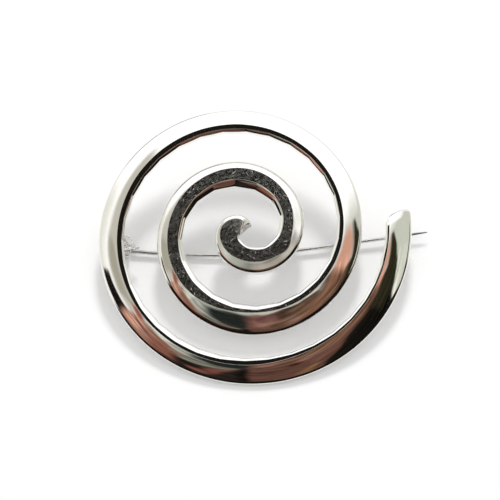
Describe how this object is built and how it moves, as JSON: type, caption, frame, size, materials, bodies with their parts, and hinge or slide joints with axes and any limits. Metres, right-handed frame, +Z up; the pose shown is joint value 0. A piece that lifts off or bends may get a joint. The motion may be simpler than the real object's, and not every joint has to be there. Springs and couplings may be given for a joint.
{
  "type": "spiral brooch",
  "caption": "Brooch made of a flat-backed silver-coloured band wound into an open spiral, with a hinged pin and a hook catch behind it.",
  "frame": {"origin": "centre of the bounding box in X and Y, at the lowest point, on the table that the brooch lies on", "axes": "+X from the hinge towards the tip of the closed pin, +Y away from the viewer, +Z up; the back leans 9 degrees on the table with its near edge down"},
  "size_m": [0.0626, 0.0538, 0.0095],
  "materials": {
    "silver": "polished silver with fine scratches",
    "rivet_silver": "polished silver",
    "pin_wire": "drawn steel wire"
  },
  "bodies": {
    "brooch": {"spiral_band": "silver", "hinge_rivet": "rivet_silver"},
    "pin": {"pin_stem": "pin_wire"}
  },
  "joints": [
    {"name": "pin_swing", "type": "hinge", "parent": "brooch", "child": "pin", "pos_m": [-0.02634, 0.0009, 0.00094], "axis": [0, 0.9877, 0.1564], "range_deg": [0, 100]}
  ]
}
